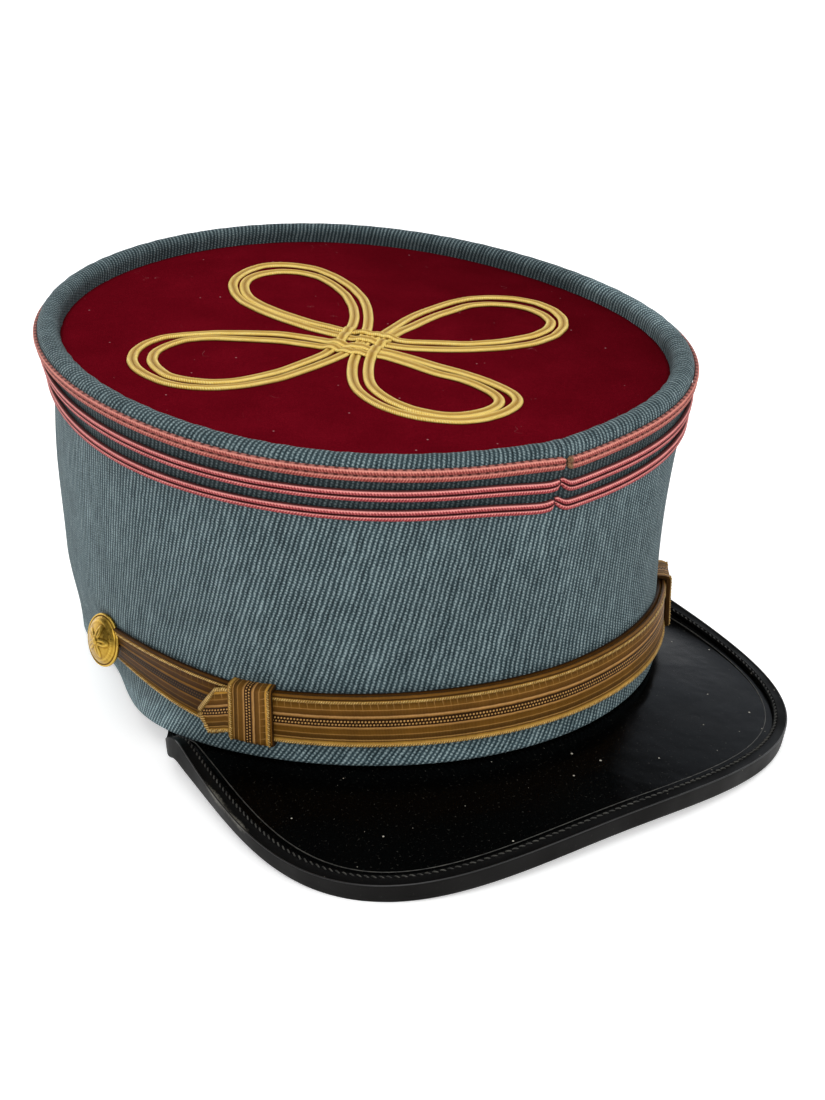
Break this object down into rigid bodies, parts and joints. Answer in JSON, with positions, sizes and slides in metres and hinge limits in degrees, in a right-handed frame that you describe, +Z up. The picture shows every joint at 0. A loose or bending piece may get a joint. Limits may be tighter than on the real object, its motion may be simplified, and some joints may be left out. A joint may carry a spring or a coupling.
{
  "type": "kepi cap",
  "caption": "Round kepi cap with a sloping flat crimson top, gold knot, coral braid rows, gold lace chin strap, domed buttons and a square patent visor.",
  "frame": {"origin": "centre of the bounding box on the surface the cap stands on", "axes": "+Z up, -Y towards the visor, +X towards the wearer's left"},
  "size_m": [0.1728, 0.2342, 0.1158],
  "materials": {
    "twill": "blue-grey wool twill, matt",
    "crimson_cloth": "crimson felted wool, matt",
    "gold_cord": "gold soutache, soft metallic sheen",
    "coral_soutache": "coral soutache, silky",
    "gold_lace": "gold lace, worn metallic thread",
    "brass": "polished and lightly tarnished",
    "patent_leather": "black patent, glossy"
  },
  "bodies": {
    "root": {"crown_wall": "twill", "crown_top": "crimson_cloth", "hungarian_knot": "gold_cord", "braid_upper": "coral_soutache", "braid_middle": "coral_soutache", "braid_lower": "coral_soutache", "strap_back": "gold_lace", "strap_front": "gold_lace", "keeper_right": "gold_lace", "keeper_left": "gold_lace", "button_right": "brass", "button_left": "brass", "visor": "patent_leather", "visor_binding": "patent_leather"}
  },
  "joints": []
}
